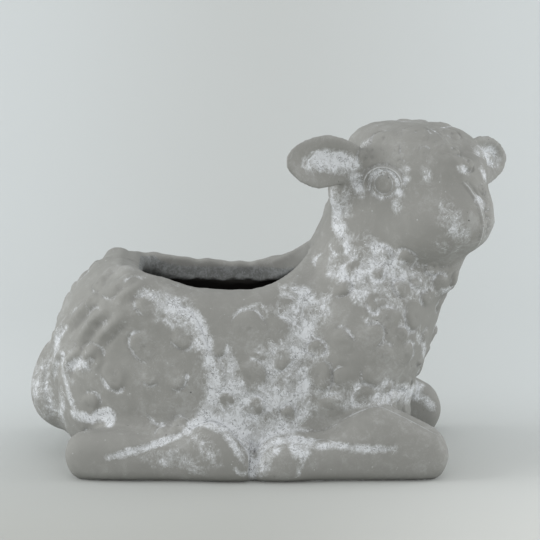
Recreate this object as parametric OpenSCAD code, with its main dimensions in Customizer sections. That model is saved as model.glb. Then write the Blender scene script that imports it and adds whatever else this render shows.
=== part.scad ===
// Planter in the form of a lamb lying down, with a hollow trunk that is open along its back.
// It faces +X, turns its head towards -Y, and rests on the plane z = 0.

/* [Trunk] */
// Length of the trunk, from the rump to inside the breast
trunk_length = 300; // [270:1:320]
// Width of the trunk at the belly
trunk_width = 170; // [156:1:180]
// How much wider the haunches are than the front, as a share of the width
haunch_share = 0.05; // [0:0.01:0.08]
// Height at which the trunk is widest
belly_height = 80; // [65:1:95]
// Distance from the figure's middle back to the rump
rump_reach = 185; // [175:1:195]
// Thickness of the cast wall
wall = 9; // [6:0.5:11]

/* [Mouth] */
// Length over the rim, from the rump to the neck
rim_length = 155; // [135:1:160]
// Width over the rim
rim_width = 120; // [100:1:126]
// Distance from the figure's middle back to the middle of the rim
rim_setback = 30; // [25:1:35]
// Height of the rim at its lowest, beside the flanks
rim_height = 153; // [140:1:160]
// How much higher the rim is at the rump
rump_rise = 23; // [10:1:28]
// How much higher the rim is at the neck
neck_rise = 30; // [20:1:34]
// Depth of the straight lip below the rim
lip_depth = 17; // [10:1:22]
// How far the hollow widens below the lip
undercut = 7; // [2:0.5:9]

/* [Foot] */
// Length of the trunk's underside
foot_length = 224; // [200:1:240]
// Width of the trunk's underside
foot_width = 124; // [110:1:130]
// How far the trunk stands above the floor
floor_clear = 3; // [1:0.5:5]
// Thickness of the base plate
plate_thickness = 10; // [6:0.5:14]
// Gap for mortar round the base plate
mortar_gap = 0.3; // [0.2:0.05:0.6]
// Thickness of the ledge that the base plate lies on
ledge_thickness = 5; // [3:0.5:8]
// Width of that ledge
ledge_width = 7; // [4:0.5:9]

/* [Drain] */
// Diameter of the drain hole
drain_d = 16; // [12:0.5:22]
// Play of the plug in the drain hole, on the radius
plug_play = 0.05; // [0.03:0.01:0.1]
// Diameter of the plug's flange
flange_d = 27; // [24:0.5:32]
// Thickness of the plug's flange
flange_thickness = 3; // [2:0.5:5]
// Height of the knob on the plug
knob_height = 9; // [6:0.5:14]

/* [Breast and neck] */
// Height to which the neck is built up under the head
neck_top = 232; // [225:1:238]
// Width over the shoulders
shoulder_width = 173; // [160:1:180]
// How far the throat reaches forward of the figure's middle
throat_reach = 157; // [150:1:162]

/* [Head] */
// Height of the head's middle
head_height = 240; // [232:1:246]
// How far forward of the figure's middle the head's middle is
head_forward = 121; // [114:1:126]
// How far the head's middle is off to the right
head_aside = 5; // [0:1:10]
// Turn of the head to the right
head_turn = 48; // [40:1:54]
// Lean of the head that lifts the right ear
head_lean = 7; // [0:1:9]
// Length of the skull
skull_length = 100; // [92:1:106]
// Width of the skull over the cheeks
skull_width = 98; // [90:1:104]
// Depth of the skull
skull_depth = 92; // [86:1:98]
// Length of the muzzle, with the jaw
muzzle_length = 108; // [100:1:116]
// Width of the muzzle
muzzle_width = 80; // [72:1:86]
// Depth of the muzzle
muzzle_depth = 72; // [66:1:80]
// Length of the brow
brow_length = 84; // [76:1:92]
// Width of the brow
brow_width = 76; // [70:1:86]
// Depth of the brow
brow_depth = 74; // [66:1:80]

/* [Ears] */
// Length of an ear from the skull's side
ear_length = 87; // [78:1:92]
// Width of an ear
ear_width = 47; // [40:1:54]
// Thickness of an ear at its root
ear_thickness = 17; // [13:0.5:20]
// Depth of the hollow in an ear
ear_hollow = 8; // [4:0.5:9]
// How far the ears are swept back
ear_sweep = 12; // [5:1:18]
// Diameter of the tenon on an ear's root
tenon_d = 11; // [8:0.5:14]
// Length of that tenon
tenon_length = 7; // [5:0.5:9]
// Gap round a tenon in its socket
tenon_gap = 0.2; // [0.1:0.05:0.5]

/* [Legs] */
// Distance from the figure's middle line to the middle of a leg
leg_aside = 79; // [76:1:84]
// Width of a leg
leg_width = 41; // [36:1:46]
// Length of a folded foreleg
foreleg_length = 161; // [150:1:165]
// Height of a foreleg at the elbow
foreleg_height = 63; // [54:1:70]
// Length of a folded hind leg
hindleg_length = 156; // [146:1:158]
// Height of a hind leg over the hoof
hindleg_height = 48; // [40:1:54]
// Gap between a hind hoof and the fore hoof ahead of it
hoof_gap = 2; // [1:0.5:6]
// Distance from the figure's middle back to that gap
hoof_setback = 13; // [8:1:18]

/* [Tail] */
// Length of the tail
tail_length = 82; // [70:1:92]
// Width of the tail
tail_width = 44; // [36:1:50]
// How far the tail stands out behind the rump
tail_stand = 17; // [12:0.5:24]
// How deep the tail's form reaches into the rump, where it is cut to fit
tail_seat = 27; // [20:0.5:34]
// Height of the tail's tip above the floor
tail_clear = 20; // [10:1:26]

/* [Hidden] */
$fn = 48;
overrun = 1;
stone_grey = [0.56, 0.56, 0.53];
stone_dark = [0.42, 0.41, 0.38];
rubber_black = [0.13, 0.13, 0.13];
round_steps = 48;

// One coordinate of a rounded outline; the higher the power, the fuller it is
function swell(v, power) = sign(v) * pow(abs(v), 2 / power);

function blend(a, b, share) = a + (b - a) * share;

function mean(points) = [for (k = [0:2]) [for (p = points) p[k]] * [for (p = points) 1]] / len(points);

// A smooth row between the rows of a table, by a Catmull-Rom curve
function row_at(rows, t) =
    let (last = len(rows) - 1, i = min(floor(t), last - 1), f = t - i,
         a = rows[max(i - 1, 0)], b = rows[i], c = rows[i + 1], d = rows[min(i + 2, last)])
    ((2 * b) + (c - a) * f + (2 * a - 5 * b + 4 * c - d) * f * f
     + (3 * b - a - 3 * c + d) * f * f * f) / 2;

// The quads between one ring of points and the next, each as two triangles
function band(i, k, m) = [for (j = [0:m - 1]) let (n = (j + 1) % m)
    each [[i * m + j, k * m + n, i * m + n], [i * m + j, k * m + j, k * m + n]]];

// A closed solid from a stack of rings, with a fan at each end
module skin(rings) {
    n = len(rings);
    m = len(rings[0]);
    points = concat([for (r = rings) each r], [mean(rings[0]), mean(rings[n - 1])]);
    sides = [for (i = [0:n - 2]) each band(i, i + 1, m)];
    first = [for (j = [0:m - 1]) [n * m, j, (j + 1) % m]];
    last = [for (j = [0:m - 1]) [n * m + 1, (n - 1) * m + (j + 1) % m, (n - 1) * m + j]];
    polyhedron(points = points, faces = concat(first, sides, last));
}

// A closed shell from rings that go up its outside and down its inside
module shell(rings) {
    n = len(rings);
    m = len(rings[0]);
    polyhedron(points = [for (r = rings) each r], faces = [for (i = [0:n - 1]) each band(i, (i + 1) % n, m)]);
}

// Plan outlines of the trunk: middle, half length, half width
trunk_power = 2.4;
rim_power = 2.6;
lower_steps = 6;
upper_steps = 9;
belly_plan = [trunk_length / 2 - rump_reach, trunk_length / 2, trunk_width / 2];
foot_plan = [belly_plan.x, foot_length / 2, foot_width / 2];
rim_plan = [-rim_setback, rim_length / 2, rim_width / 2];

function inset(plan, by) = [plan[0], plan[1] - by, plan[2] - by];

function outline(plan, power, a) =
    [plan[0] + plan[1] * swell(cos(a), power),
     plan[2] * swell(sin(a), power) * (1 - haunch_share * cos(a))];

function rim_level(a) = rim_height + (cos(a) < 0 ? rump_rise : neck_rise) * pow(cos(a), 2);

function trunk_point(a, t, lower, belly, upper, bottom, top) =
    let (s = abs(sin(90 * t)), c = cos(90 * t),
         end = t < 0 ? outline(lower, trunk_power, a) : outline(upper, rim_power, a),
         xy = blend(end, outline(belly, trunk_power, a), c))
    [xy.x, xy.y, blend(belly_height, t < 0 ? bottom : top, s)];

function outer_ring(t) = [for (j = [0:round_steps - 1]) let (a = 360 * j / round_steps)
    trunk_point(a, t, foot_plan, belly_plan, rim_plan, floor_clear, rim_level(a))];

function inner_ring(t) = [for (j = [0:round_steps - 1]) let (a = 360 * j / round_steps)
    trunk_point(a, t, inset(plate_plan, -mortar_gap), inset(belly_plan, wall), inset(rim_plan, wall - undercut),
                plate_top, rim_level(a) - lip_depth - undercut)];

function lip_ring(by, drop) = [for (j = [0:round_steps - 1]) let (a = 360 * j / round_steps)
    let (xy = outline(inset(rim_plan, by), rim_power, a)) [xy.x, xy.y, rim_level(a) - drop]];

function flat_ring(plan, z) = [for (j = [0:round_steps - 1]) let (a = 360 * j / round_steps)
    let (xy = outline(plan, trunk_power, a)) [xy.x, xy.y, z]];

plate_plan = inset(foot_plan, wall - ledge_width / 2);
plate_bottom = floor_clear + ledge_thickness;
plate_top = plate_bottom + plate_thickness;

function outer_trunk() = [for (i = [-lower_steps:upper_steps])
    outer_ring(i < 0 ? i / lower_steps : i / upper_steps)];

// The rounded top of the rim, which stands a little above its outer edge
lip_edge = wall / 6;
function lip_top() = [for (by = [lip_edge, wall - lip_edge]) lip_ring(by, -lip_edge / 2)];

module trunk_form() {
    skin(concat(outer_trunk(), lip_top()));
}

module trunk_shell() {
    ledge_plan = inset(plate_plan, ledge_width);
    color(stone_grey)
        shell(concat(
            outer_trunk(),
            lip_top(),
            [lip_ring(wall, lip_edge), lip_ring(wall, lip_depth)],
            [for (i = [upper_steps:-1:-lower_steps]) inner_ring(i < 0 ? i / lower_steps : i / upper_steps)],
            [flat_ring(inset(plate_plan, -mortar_gap), plate_bottom), flat_ring(ledge_plan, plate_bottom),
             flat_ring(ledge_plan, floor_clear)]));
}

drain_place = [rim_plan.x, 0, 0];

module base_plate() {
    color(stone_dark)
        difference() {
            translate([0, 0, plate_bottom])
                linear_extrude(plate_thickness)
                    polygon([for (p = flat_ring(plate_plan, 0)) [p.x, p.y]]);
            translate(drain_place + [0, 0, plate_bottom - overrun])
                cylinder(d = drain_d, h = plate_thickness + 2 * overrun);
        }
}

module drain_plug() {
    knob_r = flange_d / 5;
    stem_r = drain_d / 2 - plug_play;
    round_r = flange_thickness / 3;
    color(rubber_black)
        translate(drain_place + [0, 0, plate_top])
            rotate_extrude()
                polygon([[0, -plate_thickness], [stem_r - round_r, -plate_thickness],
                         [stem_r, round_r - plate_thickness], [stem_r, 0], [flange_d / 2, 0],
                         [flange_d / 2, flange_thickness - round_r], [flange_d / 2 - round_r, flange_thickness],
                         [knob_r, flange_thickness], [knob_r, flange_thickness + knob_height - round_r],
                         [knob_r - round_r, flange_thickness + knob_height], [0, flange_thickness + knob_height]]);
}

// Sections of the breast and neck, going up: height, back, front, half width
neck_row_shares = [
    [0.013, 0.15, 0.68, 0.62], [0.09, 0.07, 0.73, 0.78], [0.19, 0.01, 0.76, 0.90],
    [0.30, -0.01, 0.79, 0.98], [0.41, 0.00, 0.86, 1.00], [0.53, 0.05, 0.91, 0.95],
    [0.64, 0.13, 0.96, 0.84], [0.73, 0.19, 1.00, 0.74], [0.80, 0.25, 0.99, 0.67],
    [0.87, 0.31, 0.96, 0.61], [0.93, 0.34, 0.93, 0.56], [0.98, 0.39, 0.89, 0.50], [1.00, 0.53, 0.85, 0.42]];
neck_power = 2.2;
neck_rings = 20;
neck_sides = 36;

function neck_ring(t) =
    let (row = row_at(neck_row_shares, t), back = row[1] * throat_reach, front = row[2] * throat_reach,
         half = row[3] * shoulder_width / 2)
    [for (j = [0:neck_sides - 1]) let (a = 360 * j / neck_sides)
        [(front + back) / 2 + (front - back) / 2 * swell(cos(a), neck_power),
         half * swell(sin(a), neck_power), row[0] * neck_top]];

module neck_form() {
    last = len(neck_row_shares) - 1;
    skin([for (i = [0:neck_rings]) neck_ring(last * i / neck_rings)]);
}

module forequarters() {
    color(stone_grey)
        difference() {
            neck_form();
            trunk_form();
            place_head() head_form();
        }
}

// The head is drawn with its nose along +X and its middle at the origin
head_steps = 36;
head_rings = 18;
head_norm = 9;
pole_level = 0.25;
skull_power = 3;
muzzle_ahead_share = 0.33;
muzzle_drop_share = 0.30;
brow_ahead_share = 0.29;
brow_rise_share = 0.09;
skull_half = [skull_length, skull_width, skull_depth] / 2;
muzzle_half = [muzzle_length, muzzle_width, muzzle_depth] / 2;
muzzle_middle = [muzzle_ahead_share * skull_length, 0, -muzzle_drop_share * skull_depth];
brow_half = [brow_length, brow_width, brow_depth] / 2;
brow_middle = [brow_ahead_share * skull_length, 0, brow_rise_share * skull_depth];

// Distance from the skull's middle to a full rounded box of its size
function skull_radius(d) =
    pow([for (k = [0:2]) pow(abs(d[k]) / skull_half[k], skull_power)] * [1, 1, 1], -1 / skull_power);

// Distance at which a ray from the skull's middle leaves an ellipsoid round it
function exit_at(d, middle, half) =
    let (p = [for (k = [0:2]) -middle[k] / half[k]], q = [for (k = [0:2]) d[k] / half[k]],
         b = p * q, a = q * q, root = b * b - a * (p * p - 1))
    root <= 0 ? 0 : max(0, (sqrt(root) - b) / a);

function head_radius(d) =
    let (reach = [skull_radius(d), exit_at(d, muzzle_middle, muzzle_half), exit_at(d, brow_middle, brow_half)])
    pow([for (r = reach) pow(r, head_norm)] * [1, 1, 1], 1 / head_norm);

function head_level(i) = max(pole_level, min(head_rings - pole_level, i));

function head_ring(i) = [for (j = [0:head_steps - 1])
    let (down = 180 * head_level(i) / head_rings, a = 360 * j / head_steps,
         d = [sin(down) * cos(a), sin(down) * sin(a), cos(down)])
    head_radius(d) * d];

module head_form() {
    skin([for (i = [head_rings:-1:0]) head_ring(i)]);
}

module place_head() {
    translate([head_forward, -head_aside, head_height])
        rotate([0, 0, -head_turn])
            rotate([-head_lean, 0, 0])
                children();
}

module head() {
    color(stone_grey)
        place_head()
            difference() {
                head_form();
                at_ear() ear_tenon(tenon_gap);
                mirror([0, 1, 0]) at_ear() ear_tenon(tenon_gap);
            }
}

// An ear is drawn along +X from its root, with its hollow towards +Y
ear_root_share = 0.86;
ear_rise_share = 0.12;
ear_row_shares = [
    [-0.16, 0.34, 0.80, 0.0], [0.00, 0.42, 0.92, 0.0], [0.16, 0.64, 0.95, 0.5], [0.36, 0.91, 0.82, 0.9],
    [0.56, 1.00, 0.68, 1.0], [0.75, 0.86, 0.55, 0.8], [0.89, 0.60, 0.45, 0.5], [0.97, 0.33, 0.34, 0.2],
    [1.00, 0.06, 0.12, 0.0]];
ear_rings = 18;
ear_sides = 20;
ear_power = 2.1;

module at_ear() {
    translate([0, -skull_half.y * ear_root_share, skull_depth * ear_rise_share])
        rotate([0, 0, -90 - ear_sweep])
            children();
}

function ear_ring(t) =
    let (row = row_at(ear_row_shares, t), half = row[2] * ear_thickness / 2)
    [for (j = [0:ear_sides - 1]) let (a = 360 * j / ear_sides, front = max(0, cos(a)))
        [row[0] * ear_length, half * cos(a) - ear_hollow * row[3] * front * front * front,
         row[1] * ear_width / 2 * swell(sin(a), ear_power)]];

module ear_form() {
    last = len(ear_row_shares) - 1;
    skin([for (i = [0:ear_rings]) ear_ring(last * i / ear_rings)]);
}

module ear_tenon(gap) {
    seat = skull_half.y * (1 - ear_root_share) + overrun;
    translate([seat, 0, 0])
        rotate([0, -90, 0])
            cylinder(d = tenon_d + 2 * gap, h = seat + tenon_length + gap);
}

module ear() {
    difference() {
        at_ear() ear_form();
        head_form();
    }
    at_ear() ear_tenon(0);
}

module right_ear() {
    color(stone_grey) place_head() ear();
}

module left_ear() {
    color(stone_grey) place_head() mirror([0, 1, 0]) ear();
}

// Sections of the folded legs from the hoof or heel to the knee: place, height, half width
foreleg_row_shares = [
    [0.00, 0.20, 0.50], [0.02, 0.37, 0.72], [0.09, 0.52, 0.90], [0.18, 0.57, 0.96], [0.29, 0.55, 0.86],
    [0.37, 0.57, 0.84], [0.45, 0.71, 0.90], [0.55, 0.90, 0.97], [0.65, 1.00, 1.00], [0.75, 0.89, 1.00],
    [0.86, 0.75, 0.96], [0.95, 0.61, 0.82], [0.99, 0.42, 0.58], [1.00, 0.28, 0.38]];
hindleg_row_shares = [
    [0.00, 0.40, 0.42], [0.03, 0.69, 0.70], [0.13, 0.83, 0.92], [0.33, 0.85, 1.00], [0.47, 0.83, 0.92],
    [0.65, 0.90, 0.88], [0.75, 1.00, 0.96], [0.87, 0.88, 0.96], [0.95, 0.66, 0.84], [0.99, 0.46, 0.62],
    [1.00, 0.30, 0.42]];
leg_power = 2.5;
leg_rings = 24;
leg_sides = 20;
leg_middle_share = 0.42;
leg_sink_share = 0.08;

function leg_ring(rows, t, start, length, height) =
    let (row = row_at(rows, t), h = row[1] * height, middle = leg_middle_share * h)
    [for (j = [0:leg_sides - 1])
        let (a = 360 * j / leg_sides, up = sin(a) > 0 ? h - middle : middle + leg_sink_share * h)
        [start + row[0] * length, leg_aside + row[2] * leg_width / 2 * swell(cos(a), leg_power),
         middle + up * swell(sin(a), leg_power)]];

module leg(rows, start, length, height) {
    last = len(rows) - 1;
    color(stone_grey)
        difference() {
            skin([for (i = [0:leg_rings]) leg_ring(rows, last * i / leg_rings, start, length, height)]);
            trunk_form();
            neck_form();
            translate([start - overrun, leg_aside - leg_width, -leg_sink_share * height - overrun])
                cube([length + 2 * overrun, 2 * leg_width, leg_sink_share * height + overrun]);
        }
}

module left_foreleg() {
    leg(foreleg_row_shares, hoof_gap / 2 - hoof_setback, foreleg_length, foreleg_height);
}

module left_hindleg() {
    leg(hindleg_row_shares, -hoof_gap / 2 - hoof_setback - hindleg_length, hindleg_length, hindleg_height);
}

module right_foreleg() {
    mirror([0, 1, 0]) left_foreleg();
}

module right_hindleg() {
    mirror([0, 1, 0]) left_hindleg();
}

// Sections of the tail, going up: height, half depth, half width, how far the middle is drawn in
tail_row_shares = [
    [0.00, 0.10, 0.10, 0.50], [0.05, 0.45, 0.48, 0.32], [0.16, 0.80, 0.82, 0.12], [0.32, 0.98, 1.00, 0.02],
    [0.50, 1.00, 0.96, 0.00], [0.68, 0.84, 0.80, 0.00], [0.86, 0.54, 0.56, 0.00], [0.96, 0.28, 0.32, 0.04],
    [1.00, 0.10, 0.12, 0.06]];
tail_rings = 18;
tail_sides = 24;
tail_power = 2;

function tail_ring(t) =
    let (row = row_at(tail_row_shares, t), depth = (tail_stand + tail_seat) / 2)
    [for (j = [0:tail_sides - 1]) let (a = 360 * j / tail_sides)
        [tail_seat - rump_reach - depth + row[3] * depth + row[1] * depth * swell(cos(a), tail_power),
         row[2] * tail_width / 2 * swell(sin(a), tail_power), tail_clear + row[0] * tail_length]];

module tail() {
    last = len(tail_row_shares) - 1;
    color(stone_grey)
        difference() {
            skin([for (i = [0:tail_rings]) tail_ring(last * i / tail_rings)]);
            trunk_form();
        }
}

trunk_shell();
base_plate();
drain_plug();
forequarters();
head();
right_ear();
left_ear();
right_foreleg();
left_foreleg();
right_hindleg();
left_hindleg();
tail();
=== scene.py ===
import math
import bmesh
import bpy
import numpy as np
from mathutils import Matrix, Vector
from mathutils.bvhtree import BVHTree
from mathutils.kdtree import KDTree


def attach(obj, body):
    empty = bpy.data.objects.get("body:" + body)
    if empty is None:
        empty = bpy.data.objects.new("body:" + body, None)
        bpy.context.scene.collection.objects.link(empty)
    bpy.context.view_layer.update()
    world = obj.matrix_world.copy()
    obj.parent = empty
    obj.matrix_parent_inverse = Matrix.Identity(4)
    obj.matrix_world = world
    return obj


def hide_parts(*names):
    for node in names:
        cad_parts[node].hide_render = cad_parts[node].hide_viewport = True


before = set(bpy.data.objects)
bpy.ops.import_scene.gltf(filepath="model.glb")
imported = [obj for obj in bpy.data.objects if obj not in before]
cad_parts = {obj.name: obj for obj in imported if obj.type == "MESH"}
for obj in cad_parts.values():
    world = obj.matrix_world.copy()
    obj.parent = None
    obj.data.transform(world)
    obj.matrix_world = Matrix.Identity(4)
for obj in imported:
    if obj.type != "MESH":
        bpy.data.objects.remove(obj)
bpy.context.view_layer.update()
mm = 0.001

# The photographer's view. Places on the near side are given as (right, down) in its square frame
view = {"frame": 540, "pixel": 0.842 * mm, "distance": 3.5, "aim": (0.0004, 0.0, 0.159),
        "above": math.radians(12)}
# The head's own frame: its middle, its turn to the right and the lean that lifts the right ear
headFrame = {"middle": (0.121, -0.005, 0.240), "turn": math.radians(48), "lean": math.radians(7)}
# The mouth's rim as the solids have it, and how much squarer its corners are on the casting
rim = {"middle": -0.030, "halfLength": 0.0775, "halfWidth": 0.060, "power": 2.6, "squarer": 6.5,
       "lowest": 0.153}
# Seen from here, the trunk's outer faces look away and its inner ones look back
hollowMiddle = (-0.035, 0, 0.08)

stoneNodes = ["trunk_shell", "forequarters", "head", "right_ear", "left_ear", "right_foreleg",
              "left_foreleg", "right_hindleg", "left_hindleg", "tail"]


# Small tools

def deselect():
    bpy.ops.object.select_all(action="DESELECT")


def makeActive(obj):
    deselect()
    obj.select_set(True)
    bpy.context.view_layer.objects.active = obj


def applyModifier(obj, kind, **settings):
    makeActive(obj)
    modifier = obj.modifiers.new(kind.title(), kind)
    for name, value in settings.items():
        setattr(modifier, name, value)
    bpy.ops.object.modifier_apply(modifier=modifier.name)


def copyOfNode(node):
    # a merged copy of a CAD node; the node itself stays as it is
    copy = bpy.data.objects.new(node + "_copy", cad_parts[node].data.copy())
    bpy.context.scene.collection.objects.link(copy)
    shape = bmesh.new()
    shape.from_mesh(copy.data)
    bmesh.ops.remove_doubles(shape, verts=shape.verts, dist=0.01 * mm)
    shape.to_mesh(copy.data)
    shape.free()
    copy.data.materials.clear()
    return copy


def readFlat(items, name, width, kind=np.float32):
    # one row of numbers for each point, edge, face or corner
    flat = np.empty(len(items) * width, kind)
    items.foreach_get(name, flat)
    return flat.reshape(-1, width) if width > 1 else flat


def pointsOf(mesh):
    return readFlat(mesh.vertices, "co", 3).astype(float)


def normalsOf(mesh):
    return readFlat(mesh.vertex_normals, "vector", 3).astype(float)


def edgesOf(mesh):
    return readFlat(mesh.edges, "vertices", 2, np.int32)


def setPoints(mesh, points):
    mesh.vertices.foreach_set("co", points.astype(np.float32).ravel())
    mesh.update()


def smoothStep(low, high, value):
    t = np.clip((value - low) / (high - low), 0, 1)
    return t * t * (3 - 2 * t)


def between(rise, fall, value):
    # 0 to 1 over the rise and back to 0 over the fall
    return smoothStep(*rise, value) * (1 - smoothStep(*fall, value))


def bell(distance, width):
    return np.exp(-(distance / width) ** 2)


def inBoxOf(points, line, reach):
    # which points lie in the box round a line, within reach of it
    return np.nonzero(((points > line.min(0) - reach) & (points < line.max(0) + reach)).all(1))[0]


def treeOf(points):
    tree = KDTree(len(points))
    for i, p in enumerate(points):
        tree.insert(p, i)
    tree.balance()
    return tree


# The view's rays and the head's frame

above = view["above"]
viewRight = Vector((1, 0, 0))
viewUp = Vector((0, math.sin(above), math.cos(above)))
viewBack = Vector((0, -math.cos(above), math.sin(above)))
eyePoint = Vector(view["aim"]) + viewBack * view["distance"]
turnHead = (Matrix.Translation(headFrame["middle"]) @ Matrix.Rotation(-headFrame["turn"], 4, "Z")
            @ Matrix.Rotation(-headFrame["lean"], 4, "X"))
unturnHead = turnHead.inverted()


def pixelRay(pixel):
    right, down = pixel
    middle = view["frame"] / 2
    spot = (Vector(view["aim"]) + viewRight * (right - middle) * view["pixel"]
            + viewUp * (middle - down) * view["pixel"])
    return eyePoint, (spot - eyePoint).normalized()


def mirrorInHead(point):
    local = unturnHead @ Vector(point)
    local.y = -local.y
    return turnHead @ local


def mirrorWay(way):
    return mirrorInHead(Vector(headFrame["middle"]) + way) - mirrorInHead(headFrame["middle"])


# The camera comes first, because the places in the view are seen through it

print("camera")
camera = bpy.data.objects.new("camera", bpy.data.cameras.new("camera"))
bpy.context.scene.collection.objects.link(camera)
camera.data.sensor_width = 36
camera.data.lens = camera.data.sensor_width * view["distance"] / (view["frame"] * view["pixel"])
camera.data.clip_end = 20
camera.location = eyePoint
camera.rotation_euler = viewBack.to_track_quat("Z", "Y").to_euler()
bpy.context.scene.camera = camera
bpy.context.scene.view_settings.view_transform = "Standard"


# The one cast skin that all the stone pieces are cut from

skinPlan = {"voxel": 1.7 * mm, "evenRounds": 60, "evenBack": 0.52, "earRounds": 14, "seamRounds": 220,
            "settleRounds": 12, "padRounds": 45, "padBlend": 11.0, "shortestSeam": 8, "rimKept": 0.85}
# How wide (mm) and how strongly (share) the cast blends over each kind of seam
seamPlan = {
    ("trunk_shell", "forequarters"): (24, 1.0), ("head", "forequarters"): (22, 1.0),
    ("ear", "head"): (15, 1.0), ("foreleg", "forequarters"): (9, 0.6), ("foreleg", "trunk_shell"): (9, 0.6),
    ("hindleg", "trunk_shell"): (12, 0.8), ("tail", "trunk_shell"): (6, 0.6),
    ("foreleg", "hindleg"): (2, 0.2)}


def kindOf(node):
    return node.split("_")[-1] if node.endswith(("ear", "leg")) else node


def seamOf(a, b):
    kinds = kindOf(a), kindOf(b)
    return seamPlan.get(kinds) or seamPlan.get(kinds[::-1]) or (6, 0.4)


print("skin: joining the copies of the stone nodes")
copies = [copyOfNode(n) for n in stoneNodes]
cadTriangles = []
cadPoints = []
cadOwner = []
for number, copy in enumerate(copies):
    start = len(cadPoints)
    cadPoints.extend(v.co.copy() for v in copy.data.vertices)
    for p in copy.data.polygons:
        cadTriangles.append([start + v for v in p.vertices])
        cadOwner.append(number)
cadTree = BVHTree.FromPolygons(cadPoints, cadTriangles)

# Broad pulls of the thumb: place in the view, how far to the right, up and nearer, and how wide, in mm
presses = [
    ((443, 124), (-1.5, -5.5, 0.0), 15), ((468, 137), (-8.0, -17.0, 0.0), 16),
    ((479, 158), (-7.0, 0.0, 0.0), 13), ((70, 340), (-1.5, 1.5, 0.0), 22)]
# Pads laid on before the skin: middle and half sizes in mm
pads = [
    ("jaw", (134.7, -48, 207), (36, 30, 30)), ("throat", (146, -36, 177), (17, 18, 17)),
    ("chest", (140, -30, 163), (18, 24, 20)), ("nape", (67, -20, 222), (12, 14, 18)),
    ("earRoot", (66, -31, 233), (14, 13, 20))]
for name, middle, halves in pads[-2:]:
    pads.append((name + "Left", tuple(mirrorInHead(Vector(middle) * mm) / mm), halves))
# A string of clay closes the slit between each foreleg and the body: its path, depth and half sizes in mm
slit = {"path": [(264, 440), (268, 437), (273, 435), (279, 433), (285, 432), (291, 432), (297, 431),
                 (303, 431), (309, 430), (315, 430), (321, 430)], "depth": 2.2, "halves": (4, 3, 3.4)}
for pixel in slit["path"]:
    spot = cadTree.ray_cast(*pixelRay(pixel))[0] - viewBack * slit["depth"] * mm
    for side in (1, -1):
        pads.append(("slit", (spot.x / mm, side * spot.y / mm, spot.z / mm), slit["halves"]))
for pixel, (right, up, nearer), width in presses:
    spot = cadTree.ray_cast(*pixelRay(pixel))[0]
    pull = np.array(viewRight * right + viewUp * up + viewBack * nearer) * mm
    for node, copy in zip(stoneNodes, copies):
        if node.endswith("ear"):
            continue
        places = pointsOf(copy.data)
        places += np.outer(bell(np.linalg.norm(places - np.array(spot), axis=1) / mm, width), pull)
        setPoints(copy.data, places)
for name, middle, halves in pads:
    bpy.ops.mesh.primitive_ico_sphere_add(subdivisions=4, radius=1, location=[m * mm for m in middle],
                                          scale=[half * mm for half in halves])
    copies.append(bpy.context.object)
    bpy.ops.object.transform_apply()

deselect()
for copy in copies:
    copy.select_set(True)
bpy.context.view_layer.objects.active = copies[0]
bpy.ops.object.join()
skin = bpy.context.view_layer.objects.active
skin.name = "cast_skin"
applyModifier(skin, "REMESH", mode="VOXEL", voxel_size=skinPlan["voxel"], adaptivity=0.0)


def ownersOf(points):
    return np.array([cadOwner[cadTree.find_nearest(p)[2]] for p in points])


def partOf(owners, *endings):
    # which points belong to the nodes whose names end so
    return np.isin(owners, [i for i, n in enumerate(stoneNodes) if n.endswith(endings)])


def rimSpan(points, power):
    # 1 on the rim's outline, less inside it
    return ((np.abs(points[:, 0] - rim["middle"]) / rim["halfLength"]) ** power
            + (np.abs(points[:, 1]) / rim["halfWidth"]) ** power) ** (1 / power)


def nearRim(points, inside, outside, power=rim["squarer"]):
    # 1 on the rim of the mouth, falling to 0 away from it
    onRim = between(inside, outside, rimSpan(points, power))
    return onRim * smoothStep(rim["lowest"] - 30 * mm, rim["lowest"] - 12 * mm, points[:, 2])


def neighbourMean(points, ends, counts):
    total = np.empty_like(points)
    for k in range(3):
        total[:, k] = (np.bincount(ends[:, 0], points[ends[:, 1], k], len(points))
                       + np.bincount(ends[:, 1], points[ends[:, 0], k], len(points)))
    return total / counts[:, None]


def ease(points, ends, weights, rounds, back):
    # smooths by small pulls towards the neighbours; a push back of nearly the same size keeps the bulk
    counts = np.bincount(ends.ravel(), minlength=len(points))
    for _ in range(rounds):
        points = points + weights[:, None] * 0.5 * (neighbourMean(points, ends, counts) - points)
        if back:
            points = points - weights[:, None] * back * (neighbourMean(points, ends, counts) - points)
    return points


print("skin: easing the facets and filling the seams")
points = pointsOf(skin.data)
owners = ownersOf(points)
edges = edgesOf(skin.data)
crossing = edges[owners[edges[:, 0]] != owners[edges[:, 1]]]
seamWeight = np.zeros(len(points))
for a in range(len(stoneNodes)):
    for b in range(a + 1, len(stoneNodes)):
        pair = crossing[(owners[crossing].min(1) == a) & (owners[crossing].max(1) == b)]
        if len(pair) < skinPlan["shortestSeam"]:
            continue
        width, strength = seamOf(stoneNodes[a], stoneNodes[b])
        seam = points[pair].mean(1)
        tree = treeOf(seam)
        close = inBoxOf(points, seam, width * mm)
        away = np.array([tree.find(points[i])[2] for i in close])
        share = strength * (1 - smoothStep(0.2, 1, away / (width * mm)))
        seamWeight[close] = np.maximum(seamWeight[close], share)
padWeight = np.zeros(len(points))
for name, middle, halves in pads:
    # the edges of the pads are worked in as the seams are
    span = np.linalg.norm((points / mm - np.array(middle)) / np.array(halves), axis=1)
    share = bell(np.maximum(span - 1.0, 0) * np.mean(halves), skinPlan["padBlend"])
    padWeight = np.maximum(padWeight, share)
seamWeight = np.maximum(seamWeight, padWeight)
isEar = partOf(owners, "ear")
offFloor = smoothStep(0, 5 * mm, points[:, 2])
guard = (1 - skinPlan["rimKept"] * nearRim(points, (0.78, 0.84), (1.02, 1.12), rim["power"])) * offFloor
evenly = np.where(isEar, 0.7, 1.0) * guard
points = ease(points, edges, evenly, skinPlan["evenRounds"], skinPlan["evenBack"])
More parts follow.
